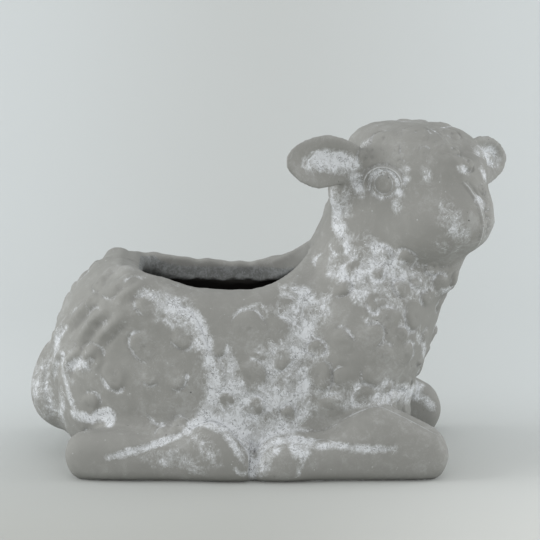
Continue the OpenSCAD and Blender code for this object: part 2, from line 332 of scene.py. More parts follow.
points = ease(points, edges, isEar * 0.6 * guard, skinPlan["earRounds"], 0)
setPoints(skin.data, points)
normals = normalsOf(skin.data)
filled = ((ease(points, edges, seamWeight * guard, skinPlan["seamRounds"], 0) - points) * normals).sum(1)
points += normals * np.maximum(filled, -0.2 * mm)[:, None]
points = ease(points, edges, seamWeight * guard, skinPlan["settleRounds"], 0)
points = ease(points, edges, padWeight * guard, skinPlan["padRounds"], 0)


# The casting's own departures from the plain solids: squarer corners to the mouth, rolled and bowed legs

mouthPlan = {"frontShorter": 0.06, "rearLower": 3 * mm, "rearMiddleLower": 7 * mm, "rearLonger": 8 * mm,
             "cornerHigher": 7 * mm, "rearRounds": 90}
# Where each of these sets in and lets go again, in metres
mouthZones = {
    "high": (0.100, 0.150), "squarerUpTo": (-0.040, 0.010), "shorterFrom": (-0.030, 0.010),
    "lower": ((-0.123, -0.110), (-0.097, -0.072)), "lowerHigh": (0.146, 0.158), "lowerOut": (0.050, 0.068),
    "longer": ((-0.128, -0.106), (-0.100, -0.045)), "longerOut": (0.055, 0.080),
    "eased": ((-0.140, -0.128), (-0.100, -0.088)), "easedHigh": (0.140, 0.152),
    "cornerBack": ((0.060, 0.108), (0.116, 0.134)), "cornerOut": ((0.026, 0.046), (0.062, 0.084)),
    "cornerHigh": (0.134, 0.152)}


def squareMouth(points):
    x, y, z = points.T
    now = rimSpan(points, rim["power"])
    grow = now / np.maximum(rimSpan(points, rim["squarer"]), 1e-6) - 1
    around = between((0.3, 0.7), (1.3, 2.0), now)
    high = smoothStep(*mouthZones["high"], z)
    share = grow * high * around * (1 - smoothStep(*mouthZones["squarerUpTo"], x))
    shorter = mouthPlan["frontShorter"] * high * around * smoothStep(*mouthZones["shorterFrom"], x)
    x += (x - rim["middle"]) * (share - shorter)
    y += y * share
    rear = between(*mouthZones["lower"], x)
    rear *= smoothStep(*mouthZones["lowerHigh"], z) * (1 - smoothStep(*mouthZones["lowerOut"], np.abs(y)))
    z -= rear * (mouthPlan["rearLower"] + mouthPlan["rearMiddleLower"] * bell(y, 0.032))
    longer = between(*mouthZones["longer"], x)
    longer *= high * (1 - smoothStep(*mouthZones["longerOut"], np.abs(y)))
    x -= longer * mouthPlan["rearLonger"]


def curlCorner(points):
    # the near rear corner of the rim curls up a little
    x, y, z = points.T
    corner = between(*mouthZones["cornerBack"], -x) * between(*mouthZones["cornerOut"], -y)
    z += corner * smoothStep(*mouthZones["cornerHigh"], z) * mouthPlan["cornerHigher"]


legPlan = {"end": 9.5 * mm, "endHeight": 24 * mm, "front": (0.105, 0.149), "rear": (-0.170, -0.130),
           "bow": 7 * mm, "bowLength": 75 * mm, "bowHigh": (0.075, 0.020), "bowOut": (0.050, 0.080),
           "roll": 2.5 * mm, "rollHeight": 9 * mm, "rollOut": (0.080, 0.099), "cleft": -0.013}


def shapeLegs(points, legs, x, y, z):
    # the ends are rounded off below, the long sides bow out and the bottom edge rolls in
    low = np.clip(1 - z / legPlan["endHeight"], 0, 1) ** 2
    end = smoothStep(*legPlan["front"], x) - (1 - smoothStep(*legPlan["rear"], x))
    points[:, 0] -= legs * legPlan["end"] * low * end
    bow = bell(x - legPlan["cleft"], legPlan["bowLength"])
    bow = bow * smoothStep(*legPlan["bowHigh"], z) * smoothStep(*legPlan["bowOut"], np.abs(y))
    points[:, 1] += np.sign(y) * legs * legPlan["bow"] * bow
    roll = np.clip(1 - z / legPlan["rollHeight"], 0, 1) ** 2 * smoothStep(*legPlan["rollOut"], np.abs(y))
    points[:, 1] -= np.sign(y) * legs * legPlan["roll"] * roll


squareMouth(points)
rearEnd = between(*mouthZones["eased"], points[:, 0]) * smoothStep(*mouthZones["easedHigh"], points[:, 2])
points = ease(points, edges, rearEnd, mouthPlan["rearRounds"], 0)
curlCorner(points)
shapeLegs(points, partOf(owners, "leg") * 1.0, *points.T.copy())
setPoints(skin.data, points)

# The head and the ears get a finer mesh for their small forms
shape = bmesh.new()
shape.from_mesh(skin.data)
isHead = partOf(owners, "head", "ear")
fine = [e for e in shape.edges if isHead[e.verts[0].index] and isHead[e.verts[1].index]]
bmesh.ops.subdivide_edges(shape, edges=fine, cuts=1, use_grid_fill=True)
bmesh.ops.triangulate(shape, faces=[f for f in shape.faces if len(f.verts) > 4])
shape.to_mesh(skin.data)
shape.free()
skin.data.update()
points = pointsOf(skin.data)
edges = edgesOf(skin.data)
owners = ownersOf(points)
isHead = partOf(owners, "head", "ear")
isEar = partOf(owners, "ear")
points = ease(points, edges, np.where(isHead, 0.8, 0.0), 3, 0.3)
setPoints(skin.data, points)
print("skin:", len(skin.data.vertices), "points")


# What the modelling adds to the skin, point by point: the lift, the white wash and the fine lines

normals = normalsOf(skin.data)
faces = [p.vertices[:] for p in skin.data.polygons]
skinTree = BVHTree.FromPolygons([Vector(p) for p in points], faces)

pointTotal = len(points)
lift = np.zeros(pointTotal)
wash = np.zeros(pointTotal)
clean = np.zeros(pointTotal)
lineAway = np.full(pointTotal, 9.0)
lineWash = np.zeros(pointTotal)
lineShade = np.zeros(pointTotal)
chance = np.random.default_rng(7)


# Lines on the skin: the step along them in the view, where a fine line fades out in mm, and how near a line
# has to be set down on the other side and how far it has to look away from the photographer to be kept
linePlan = {"step": 1.5, "fade": (2.0, 3.2), "near": 14 * mm, "facing": 0.12}


def noteLine(chosen, away, white, dark):
    # keeps the nearest fine line of each point: its signed distance in mm, how strongly its white shows and
    # how strong its painted groove shade is
    nearer = np.abs(away) < np.abs(lineAway[chosen])
    picked = chosen[nearer]
    fade = 1 - smoothStep(*linePlan["fade"], np.abs(away[nearer]))
    lineAway[picked] = away[nearer]
    lineWash[picked] = white[nearer] * fade
    lineShade[picked] = dark[nearer] * fade


def castSpot(pixel):
    spot, normal, _, _ = skinTree.ray_cast(*pixelRay(pixel))
    return (spot, normal) if spot is not None else None


def otherSide(spot, onHead):
    # the same place on the lamb's other side, set down on the skin there, if the photographer can't see it
    place = mirrorInHead(spot) if onHead else Vector((spot.x, -spot.y, spot.z))
    landed, normal, _, away = skinTree.find_nearest(place)
    hidden = away < linePlan["near"] and normal.dot(viewBack) < linePlan["facing"]
    return (landed, normal) if hidden else None


def otherRight(onHead):
    # the view's right as the other side has it
    return -mirrorWay(viewRight) if onHead else -viewRight


def curveThrough(path, step):
    # even steps along a smooth curve through given places
    path = np.array(path, float)
    ends = np.vstack([2 * path[0] - path[1], path, 2 * path[-1] - path[-2]])
    curve = []
    for i in range(len(path) - 1):
        a, b, c, d = ends[i:i + 4]
        for t in np.arange(0, 1, step / max(step, np.linalg.norm(c - b))):
            curve.append((2 * b + (c - a) * t + (2 * a - 5 * b + 4 * c - d) * t ** 2
                          + (3 * b - a - 3 * c + d) * t ** 3) / 2)
    return curve + [path[-1]]


def castPath(path):
    spots = [castSpot(p) for p in curveThrough(path, linePlan["step"])]
    return [s for s in spots if s]


def alongLine(spots, reach):
    # the points within reach of a line on the skin: which, how far, and how far along it
    line = np.array([s[0] for s in spots])
    facing = np.array([s[1] for s in spots])
    heading = np.gradient(line, axis=0)
    heading /= np.linalg.norm(heading, axis=1)[:, None] + 1e-12
    sideways = np.cross(facing, heading)
    chosen = inBoxOf(points, line, reach)
    near = points[chosen]
    squared = (near ** 2).sum(1)[:, None] + (line ** 2).sum(1)[None] - 2 * near @ line.T
    nearest = squared.argmin(1)
    offset = near - line[nearest]
    along = (offset * heading[nearest]).sum(1)
    beyond = np.where((nearest == 0) | (nearest == len(line) - 1), np.abs(along), 0)
    plain = np.sqrt(np.maximum((offset ** 2).sum(1) - along ** 2, 0) + beyond ** 2)
    keep = (plain < reach) & ((normals[chosen] * facing[nearest]).sum(1) > 0)
    side = np.where((offset * sideways[nearest]).sum(1) < 0, -1, 1)
    return chosen[keep], (plain * side)[keep] / mm, nearest[keep] / (len(line) - 1)


def bothSides(spots, onHead):
    # the line itself and the same one on the other side
    other = [otherSide(s[0], onHead) for s in spots]
    other = [s for s in other if s]
    return [spots, other[::-1]] if len(other) > 3 else [spots]


def bothLines(path, reach, onHead=False):
    # the points along a line on the near side, and along the same one on the other side
    for spots in bothSides(castPath(path), onHead):
        yield alongLine(spots, reach * mm)


def aroundSpot(spot, facing, reach, least):
    # the points round a spot that look about the same way, and where they lie from it in mm
    offset = (points - np.array(spot)) / mm
    chosen = np.nonzero((offset ** 2).sum(1) < reach ** 2)[0]
    chosen = chosen[(normals[chosen] * np.array(facing)).sum(1) > least]
    return chosen, offset[chosen]


def raiseTo(field, chosen, values):
    field[chosen] = np.maximum(field[chosen], values)


def endFade(share, part):
    # rises over the first part of a line and falls over the last
    return np.clip(share / part, 0, 1) * np.clip((1 - share) / part, 0, 1)


# What lies to the right of and above these places in the view is on the head
headFrom = {"lumps": (355, 230), "dips": (380, 270), "strokes": (300, 240)}


def isOnHead(pixel, kind):
    return pixel[0] > headFrom[kind][0] and pixel[1] < headFrom[kind][1]


# Wool lumps: middle and radius in the view, where round the edge the crease lies (0 right, 90 up), how far
# it runs to each side in degrees, and how many times lumpPlan's height it has

lumps = [
    (143, 346, 14, 190, 100, 0.9), (114, 376, 14, 250, 70, 1.1), (150, 378, 8, 270, 60, 0.7),
    (177, 379, 10, 320, 80, 0.9), (182, 338, 11, 255, 70, 0.8), (90, 404, 12, 60, 60, 1.1),
    (161, 412, 12, 245, 55, 0.6), (164, 432, 7, 140, 60, 0.6), (133, 287, 11, 100, 60, 0.5),
    (146, 306, 10, 200, 50, 0.9), (173, 290, 8, 90, 50, 0.5), (250, 328, 18, 85, 75, 0.9),
    (219, 348, 9, 290, 60, 0.8), (252, 376, 16, 20, 70, 1.0), (226, 399, 8, 60, 70, 1.0),
    (254, 407, 11, 30, 80, 1.3), (340, 286, 11, 320, 85, 1.2), (403, 288, 9, 180, 100, 1.3),
    (376, 302, 10, 245, 60, 1.0), (387, 318, 12, 100, 65, 1.0), (414, 318, 12, 215, 90, 1.1),
    (312, 313, 10, 140, 60, 0.8), (342, 342, 13, 60, 60, 1.0), (371, 337, 13, 40, 70, 1.0),
    (317, 348, 9, 90, 150, 1.2), (282, 360, 11, 300, 70, 1.1), (320, 376, 14, 350, 90, 1.3),
    (406, 355, 12, 20, 70, 1.0), (425, 337, 8, 120, 80, 1.0), (383, 356, 12, 80, 45, 0.8),
    (374, 376, 12, 200, 50, 0.8), (348, 379, 14, 170, 60, 0.8), (364, 395, 12, 75, 70, 0.7),
    (331, 407, 14, 100, 50, 0.9), (288, 414, 9, 80, 120, 1.5), (280, 329, 12, 60, 50, 0.7),
    (388, 388, 6, 45, 120, 0.8), (428, 298, 9, 160, 80, 1.2), (440, 282, 8, 100, 80, 1.0),
    (352, 268, 9, 200, 70, 0.9), (378, 272, 8, 290, 80, 1.0), (322, 262, 9, 150, 70, 0.9),
    (338, 246, 9, 200, 70, 0.9), (430, 362, 9, 100, 80, 1.0)]
# Small tucks in the curls of the cap over the forehead
capTucks = [
    (396, 150, 5, 0, 60, 0.4), (401, 164, 4, 90, 60, 0.4), (424, 152, 5, 90, 70, 0.3),
    (384, 138, 13, 120, 70, 0.9), (372, 150, 9, 140, 60, 0.7), (443, 146, 9, 30, 60, 0.7),
    (455, 150, 7, 340, 60, 1.0), (416, 132, 14, 80, 70, 0.9), (364, 158, 8, 160, 60, 0.8),
    (467, 162, 9, 350, 110, 1.5), (452, 134, 8, 60, 80, 0.9), (487, 224, 6, 20, 90, 1.2),
    (485, 204, 7, 10, 90, 1.2), (482, 190, 5, 330, 90, 0.9)]
# Heights and widths in mm, and shares: lowSide is what stands on the side away from the crease, wiped is
# how much of the wash comes off the top, and gap spaces the lumps that are laid by chance
lumpPlan = {"height": 2.0, "wobble": 0.10, "plateau": 0.42, "dome": 0.18, "lowSide": 0.35, "groove": 0.5,
            "grooveOut": 0.4, "grooveWidth": 0.8, "smear": 0.5, "smearWidth": 2.6, "wiped": 0.62, "gap": 1.0}
lumpPlaces = []


def addLump(spot, facing, level, radius, angle, span, height, groove, white):
    height = height * lumpPlan["height"]
    upright = facing.cross(level)
    chosen, offset = aroundSpot(spot, facing, radius * 1.5 + 4, 0.2)
    if not len(chosen):
        return
    u = offset @ np.array(level)
    v = offset @ np.array(upright)
    away = np.sqrt((offset ** 2).sum(1))
    turn = np.arctan2(v, u)
    phase = chance.uniform(0, 6.28, 3)
    wobble = lumpPlan["wobble"] * (np.sin(2 * turn + phase[0]) + 0.6 * np.sin(3 * turn + phase[1]))
    edge = away - radius * (1 + wobble)
    swing = np.abs((turn - math.radians(angle) + math.pi) % (2 * math.pi) - math.pi)
    arc = 1 - smoothStep(0.55 * span, 1.15 * span, np.degrees(swing))
    towardsCrease = 0.5 + 0.5 * np.cos(turn - math.radians(angle))
    standing = lumpPlan["lowSide"] + (1 - lumpPlan["lowSide"]) * towardsCrease
    plateau = 1 - smoothStep(-lumpPlan["plateau"] * radius, 0.9, edge)
    dome = 1 - lumpPlan["dome"] * np.clip(away / radius, 0, 1) ** 2
    lift[chosen] += height * standing * plateau * dome
    dent = bell(edge - lumpPlan["grooveOut"], lumpPlan["grooveWidth"] + lumpPlan["grooveOut"])
    lift[chosen] -= height * lumpPlan["groove"] * groove * arc * dent
    raiseTo(clean, chosen, white * (1 - smoothStep(-0.50 * radius, 0.12 * radius, edge)))
    smear = lumpPlan["smear"] * white * arc * bell(edge - 0.6, lumpPlan["smearWidth"])
    raiseTo(wash, chosen, smear * chance.uniform(0.3, 1.0))
    patchy = 0.5 + 0.5 * np.sin(4 * turn + phase[2])
    # the line's dark share is painted shade in the lump's crease
    noteLine(chosen, edge - 0.2, white * arc * patchy * chance.uniform(0.3, 1.0), arc * 0.25 * white)
    lumpPlaces.append((np.array(spot), radius * mm))


def levelAxis(facing, towards):
    axis = towards - facing * towards.dot(facing)
    if axis.length < 0.1:
        axis = facing.orthogonal()
    return axis.normalized()


print("sculpt: the wool")
for number, (x, y, radius, angle, span, height) in enumerate(lumps + capTucks):
    found = castSpot((x, y))
    if not found:
        continue
    spot, facing = found
    size = radius * view["pixel"] / mm
    white = 1.0 if number < len(lumps) else 0.35
    addLump(spot, facing, levelAxis(facing, viewRight), size, angle, span, height, 1.0, white)
    onHead = isOnHead((x, y), "lumps")
    other = otherSide(spot + Vector(chance.uniform(-5, 5, 3)) * mm, onHead)
    if other:
        # seen from the other side the picture is mirrored
        addLump(other[0], other[1], levelAxis(other[1], otherRight(onHead)),
                size * chance.uniform(0.85, 1.15), 180 - angle + chance.uniform(-30, 30), span, height,
                1.0, white)

# The wool that the photograph doesn't show is laid with the same kind of lump, evenly but by chance
outward = ((points - np.array(hollowMiddle)) * normals).sum(1) > 0
ownerNames = np.array(stoneNodes)[owners]
onTrunk = (ownerNames == "trunk_shell") & outward & (points[:, 2] > 22 * mm)
onTrunk &= nearRim(points, (0.5, 0.6), (1.25, 1.3)) < 0.05
onNeck = (ownerNames == "forequarters") & (points[:, 2] > 20 * mm) & (normals[:, 2] > -0.75)
localHead = (points - np.array(headFrame["middle"])) @ np.array(turnHead.to_3x3())
onCap = (ownerNames == "head") & (localHead[:, 2] > 22 * mm) & (localHead[:, 0] < 22 * mm)
onCap |= (ownerNames == "head") & (localHead[:, 0] < -18 * mm)
# the flanks stay plain
onTrunk &= (np.abs(normals[:, 1]) <= 0.55) | (points[:, 0] <= -0.14)
# Where they go, how many are tried, their radii in mm and their heights
fleece = [(onTrunk, 420, (6.5, 12.5), (0.8, 1.5)), (onNeck, 360, (6, 10.5), (0.8, 1.5)),
          (onCap, 150, (7, 12), (0.5, 0.9))]
for zone, count, sizes, heights in fleece:
    for i in chance.choice(np.nonzero(zone)[0], count, replace=False):
        size = chance.uniform(*sizes)
        spot = points[i]
        if any(np.linalg.norm(spot - p) < (r + size * mm) * lumpPlan["gap"] for p, r in lumpPlaces):
            continue
        facing = Vector(normals[i])
        seen = facing.dot(viewBack) > 0.1
        if seen and (zone is onCap or spot[2] > 0.185 or spot[0] < -0.150):
            continue
        addLump(Vector(spot), facing, levelAxis(facing, Vector((1, 0, 0.1))), size, chance.uniform(0, 360),
                chance.uniform(45, 90), chance.uniform(*heights), 0.8, 0.4 if seen else 0.8)
print("sculpt:", len(lumpPlaces), "lumps")


# Creases: path in the view, width and depth in mm, lift above and below it, white, and dark: the painted
# groove shade along the line

creases = [
    ([(170, 303), (186, 308), (196, 318), (202, 330), (206, 342), (210, 350), (216, 353)],
     1.6, 1.4, -0.4, 1.0, 0.7, 0.5),
    ([(216, 353), (222, 366), (226, 380), (222, 394)], 1.6, 0.6, -0.2, 0.4, 0.5, 0.2),
    ([(186, 431), (200, 423), (214, 421), (228, 427), (240, 440), (252, 453)],
     1.6, 1.7, -0.5, 0.6, 0.6, 0.7),
    ([(252, 440), (252, 456), (251, 468), (250, 480)], 2.0, 2.4, 0.2, 0.2, 0.3, 0.9),
    ([(106, 458), (130, 451), (153, 444), (186, 431)], 1.1, 0.9, 0.6, -0.8, 0.9, 0.25),
    ([(252, 453), (258, 445), (264, 438), (276, 434), (290, 436), (308, 439), (326, 439)],
     1.6, 0.7, -0.1, 0.5, 0.7, 0.3),
    ([(326, 439), (346, 446), (372, 449), (395, 450)], 1.2, 0.7, 0.5, -0.5, 0.8, 0.15),
    ([(340, 421), (360, 411), (378, 406), (396, 413), (420, 425), (440, 436)],
     1.6, 0.8, -0.3, 0.5, 0.5, 0.15)]
# Long locks of wool on the rump, like overlapping scales: path, half width and height in mm
locks = [
    ([(64, 330), (80, 312), (97, 295)], 5.4, 3.4), ([(76, 344), (90, 324), (108, 306)], 5.6, 3.1),
    ([(94, 350), (105, 332), (126, 313)], 5.6, 2.6), ([(106, 289), (121, 282), (136, 272)], 5.0, 2.5),
    ([(116, 300), (130, 291), (146, 282)], 5.2, 2.2), ([(52, 348), (58, 332), (69, 317)], 4.6, 2.9),
    ([(66, 376), (68, 362), (81, 349)], 5.0, 3.4), ([(98, 284), (108, 272), (122, 263)], 4.4, 1.8),
    ([(52, 376), (56, 360), (63, 348)], 3.8, 2.3), ([(83, 372), (86, 358), (96, 348)], 5.0, 2.1)]
# Soft dips: path, width and depth in mm
dips = [
    ([(306, 300), (303, 320), (301, 340), (300, 365), (306, 390), (316, 405)], 8, 1.3),
    ([(395, 262), (415, 266), (440, 268), (462, 264)], 4, 1.3),
    ([(336, 205), (338, 230), (352, 250)], 5, 0.8),
    ([(266, 352), (270, 370), (272, 392), (270, 412)], 5, 0.7),
    ([(52, 352), (46, 372), (46, 395), (54, 415)], 2.5, 0.8), ([(62, 360), (57, 380), (58, 402)], 2.5, 0.9)]

print("sculpt: creases")
for path, width, depth, rise, fall, white, dark in creases:
    for chosen, away, share in bothLines(path, 22):
        fade = endFade(share, 0.12)
        swell = rise * smoothStep(0, 3, away) + fall * smoothStep(0, 3, -away)
        lift[chosen] += fade * (swell * bell(away, 9.0) - depth * bell(away, width))
        close = np.abs(away) < 5
        # the dark share is painted shade in the groove
        noteLine(chosen[close], away[close], white * fade[close], dark * fade[close])
for path, width, height in locks:
    for chosen, away, share in bothLines(path, width * 3):
        fade = np.sin(np.pi * np.clip(share, 0, 1)) ** 0.6
        ridge = bell(away, 0.75 * width) - 0.35 * bell(away + 1.5 * width, 0.5 * width)
        lift[chosen] += height * fade * ridge
        raiseTo(wash, chosen, 0.16 * fade * bell(away - 0.4 * width, 0.5 * width))
for path, width, depth in dips:
    for chosen, away, share in bothLines(path, width * 2.6, isOnHead(path[0], "dips")):
        lift[chosen] -= depth * endFade(share, 0.2) * bell(away, width)


# The face: eyes, the raised line round the muzzle, the edge of the cap, the far cheek

# The eye's place in the view, its sizes and places in mm and how high or deep each form is
eye = {"place": (383, 184), "ball": 7.9, "lid": (16.6, 13.4), "corner": (15.5, -6.5), "reach": 34,
       "socketDepth": 1.5, "ballHeight": 1.9, "rimHeight": 0.8, "lidHeight": 1.5, "foldDepth": 0.5,
       "cornerDepth": 1.2}


def carveEye(spot, facing, level, mirrored):
    upright = facing.cross(level)
    chosen, offset = aroundSpot(spot, facing, eye["reach"], 0.1)
    u = offset @ np.array(level) * (-1 if mirrored else 1)
    v = offset @ np.array(upright)
    away = np.hypot(u, v)
    upper = smoothStep(-0.45, 0.25, v / (away + 0.01))
    lidAway = (np.hypot(u / eye["lid"][0], v / eye["lid"][1]) - 1) * 0.5 * sum(eye["lid"])
    ballAway = away - eye["ball"]
    cornerAway = np.hypot(u - eye["corner"][0], (v - eye["corner"][1]) * 1.2)
    lift[chosen] -= eye["socketDepth"] * (1 - smoothStep(-3, 1, lidAway))
    lift[chosen] += eye["ballHeight"] * np.sqrt(np.clip(1 - (away / eye["ball"]) ** 2, 0, 1))
    lift[chosen] += eye["rimHeight"] * bell(ballAway - 1.6, 1.3) * (0.5 + 0.5 * upper)
    lift[chosen] += eye["lidHeight"] * upper * bell(lidAway, 1.9)
    lift[chosen] -= eye["foldDepth"] * upper * bell(lidAway - 3.6, 1.6)
    lift[chosen] -= eye["cornerDepth"] * bell(cornerAway, 3)
    patchy = 0.55 + 0.45 * np.sin(3 * np.arctan2(v, u) + 1)
    # the dark share of the ball's outline is painted shade where the ball meets the socket
    for line, reach, white, dark in ((ballAway - 0.3, 1.8, 0.7 * patchy, 0.1 * patchy),
                                     (lidAway - 0.4, 2.0, 0.45 * upper + 0.3 * upper * patchy, 0 * upper)):
        near = np.abs(line) < reach
        noteLine(chosen[near], line[near], white[near], dark[near])
    ring = bell(away - 11.6, 3.2) * (0.34 + 0.34 * upper * patchy)
    corner = bell(np.hypot(u - 14.5, v + 7), 4.5) * 0.9
    tail = bell(np.hypot((u - 12) / 1.1, (v + 15) / 2.0), 4.5) * 0.45
    raiseTo(wash, chosen, np.maximum(ring, np.maximum(corner, tail)))
    raiseTo(clean, chosen, 0.7 * (1 - smoothStep(6, 8.4, away)))


# The hollows of the ears: middle in the view, half sizes and depth in mm, tilt
earHollows = [((327, 160), (25, 10.5), 3.6, 0.05), ((491, 158), (12, 15), 3.0, 0.0)]


def carveEar(pixel, halves, depth, tilt):
    # an oval in the view, and the same one on the other side where that is out of sight
    spot = castSpot(pixel)
    other = otherSide(spot[0], True)
    ways = [(spot, viewRight, viewUp)]
    if other:
        ways.append((other, mirrorWay(viewRight), mirrorWay(viewUp)))
    for (place, facing), right, up in ways:
        chosen, offset = aroundSpot(place, facing, 45, 0.3)
        u = offset @ np.array(right)
        v = offset @ np.array(up) - tilt * u
        span = np.hypot(u / halves[0], v / halves[1])
        lift[chosen] -= depth * (1 - smoothStep(0.15, 1.0, span)) * isEar[chosen]


print("sculpt: the face")
for hollow in earHollows:
    carveEar(*hollow)
spot, facing = castSpot(eye["place"])
facing = (facing * 0.35 + viewBack * 0.65).normalized()
carveEye(spot, facing, levelAxis(facing, viewRight), False)
otherFacing = mirrorWay(facing)
carveEye(skinTree.find_nearest(mirrorInHead(spot))[0], otherFacing,
         levelAxis(otherFacing, otherRight(True)), True)

# Raised lines: path, width and height in mm, white
ridges = [
    ([(462, 180), (470, 190), (477, 201), (481, 212), (483, 224), (481, 237), (475, 249), (466, 258)],
     1.6, 1.1, 0.5),
    ([(430, 126), (441, 140), (449, 152), (458, 166), (464, 182)], 3.5, 0.9, 0.0),
    ([(384, 152), (396, 142), (412, 137), (428, 138)], 3.5, 0.5, 0.0)]
for path, width, height, white in ridges:
    chosen, away, share = alongLine(castPath(path), 8 * mm)
    fade = endFade(share, 0.1)
    lift[chosen] += height * fade * bell(away, width)
    noteLine(chosen, away, white * fade, 0 * fade)
# The groove behind the muzzle's edge, on the far cheek: width, depth and reach in mm
cheekGroove = {"path": [(466, 180), (474, 189), (481, 200), (485, 212), (487, 224), (485, 238), (479, 250)],
               "width": 1.6, "depth": 1.0, "reach": 6}
chosen, away, share = alongLine(castPath(cheekGroove["path"]), cheekGroove["reach"] * mm)
lift[chosen] -= cheekGroove["depth"] * endFade(share, 0.2) * bell(away, cheekGroove["width"])


# White wash, brushed into the hollows of the near side: path and half width in the view, strength

strokes = [
    ([(340, 258), (366, 270), (394, 276), (424, 284)], 15, 0.55),
    ([(346, 284), (372, 292), (398, 296)], 13, 0.5), ([(284, 300), (296, 330), (300, 372)], 16, 0.5),
    ([(300, 380), (330, 388), (372, 392)], 12, 0.45), ([(215, 372), (240, 396), (282, 402)], 18, 0.5),
    ([(150, 300), (184, 322), (206, 352)], 12, 0.4),
    ([(140, 292), (158, 298), (172, 303), (186, 306)], 7, 0.75),
    ([(150, 300), (168, 309), (186, 312), (198, 322), (204, 338), (209, 352), (212, 366)], 6, 1.0),
    ([(212, 366), (213, 380), (214, 395), (208, 410), (196, 422)], 8, 0.9),
    ([(165, 315), (178, 325)], 8, 0.5),
    ([(222, 372), (240, 392), (262, 398), (285, 395), (300, 380)], 14, 0.85),
    ([(218, 400), (235, 425), (252, 440), (275, 430), (300, 410)], 14, 0.9),
    ([(186, 428), (204, 420), (222, 424), (238, 436), (250, 455)], 6, 1.0),
    ([(107, 458), (150, 446), (184, 433)], 3.5, 0.9), ([(150, 455), (178, 462), (200, 468)], 10, 0.35),
    ([(250, 455), (252, 478)], 4, 1.0),
    ([(256, 470), (262, 452), (276, 442), (296, 440), (318, 444)], 5, 0.95),
    ([(300, 445), (335, 446), (365, 449), (393, 449)], 4, 0.8),
    ([(292, 443), (300, 456), (308, 448)], 5, 0.8), ([(303, 455), (301, 466), (297, 478)], 3, 0.5),
    ([(262, 476), (268, 458), (280, 446)], 5, 0.7),
    ([(206, 424), (222, 430), (236, 446), (244, 462)], 5, 0.65),
    ([(190, 434), (204, 446), (216, 460)], 8, 0.35), ([(236, 470), (247, 476)], 3, 0.5),
    ([(244, 396), (250, 412), (262, 424)], 9, 0.8),
    ([(336, 192), (335, 206), (337, 222), (344, 240), (352, 254)], 7, 0.85),
    ([(366, 238), (378, 250), (392, 256), (404, 262)], 7, 0.6),
    ([(350, 262), (372, 268), (392, 264), (412, 268)], 7, 0.7),
    ([(350, 172), (357, 182), (361, 192)], 6, 0.7), ([(362, 146), (370, 140)], 5, 0.45),
    ([(404, 166), (408, 176), (404, 186)], 4, 0.4), ([(424, 170), (428, 180)], 5, 0.35),
    ([(348, 186), (344, 200), (348, 214)], 5, 0.6), ([(405, 282), (420, 276), (436, 272)], 4, 0.45),
    ([(396, 300), (404, 312), (402, 328)], 4, 0.4), ([(418, 330), (424, 350), (420, 372)], 5, 0.45),
    ([(396, 386), (410, 392), (420, 384)], 6, 0.8), ([(330, 292), (322, 304), (326, 318)], 6, 0.6),
    ([(362, 318), (374, 326), (372, 338)], 3, 0.4), ([(246, 308), (262, 306), (268, 318)], 3, 0.4),
    ([(268, 340), (276, 352), (286, 356)], 5, 0.6), ([(226, 352), (232, 366), (228, 380)], 6, 0.8),
    ([(57, 330), (66, 318), (80, 306)], 3, 0.2), ([(62, 352), (66, 372), (74, 384)], 3, 0.5),
    ([(410, 392), (425, 400), (436, 410)], 5, 0.55),
    ([(290, 292), (305, 298), (312, 310), (306, 325), (302, 340), (304, 352)], 9, 0.9),
    ([(283, 350), (300, 352), (320, 352)], 8, 0.8), ([(262, 352), (272, 368), (276, 385)], 7, 0.7),
    ([(255, 360), (262, 366)], 5, 0.6), ([(300, 366), (304, 384), (300, 398)], 9, 0.85),
    ([(330, 395), (345, 402), (365, 400), (395, 398), (410, 400)], 6, 0.7),
    ([(380, 380), (390, 392), (400, 398)], 8, 0.7),
    ([(335, 268), (348, 276), (362, 272), (372, 262)], 9, 0.8), ([(345, 285), (360, 290)], 7, 0.5),
    ([(378, 278), (390, 270), (398, 285), (388, 292)], 9, 0.7), ([(400, 262), (425, 268)], 6, 0.4),
    ([(352, 240), (342, 258)], 7, 0.5), ([(338, 205), (336, 225)], 5, 0.7),
    ([(310, 164), (322, 161), (336, 162), (352, 164)], 8.5, 1.1),
    ([(480, 152), (490, 154), (496, 160)], 7, 0.8), ([(482, 168), (486, 180)], 6, 0.6),
    ([(461, 168), (466, 172)], 4, 0.7), ([(74, 414), (88, 418), (108, 414), (110, 424)], 5, 1.0),
    ([(64, 372), (68, 392), (74, 410)], 4, 0.8), ([(46, 352), (40, 378), (44, 402), (56, 418)], 16, 0.38),
    ([(446, 206), (452, 222), (462, 236), (470, 242)], 10, 0.34),
    ([(438, 246), (452, 250), (462, 248)], 7, 0.34), ([(476, 196), (484, 206)], 4, 0.5)]


def brush(spots, radius, strength):
    chosen, away, share = alongLine(spots, radius * 2.0 * mm)
    amount = strength * (1 - smoothStep(0.2, 1.9, np.abs(away) / radius))
    raiseTo(wash, chosen, amount * (0.55 + 0.45 * endFade(share, 0.2)))


print("sculpt: the wash")
for path, radius, strength in strokes:
    spots = castPath(path)
    if len(spots) < 4:
        continue
    onHead = isOnHead(path[0], "strokes")
    for k, side in enumerate(bothSides(spots, onHead)):
        if k and not onHead:
            drift = Vector(chance.uniform(-4, 4, 3)) * mm
            side = [skinTree.find_nearest(s[0] + drift)[:2] for s in side]
        brush(side, radius * view["pixel"] / mm, strength * (1 if k == 0 else 0.9))

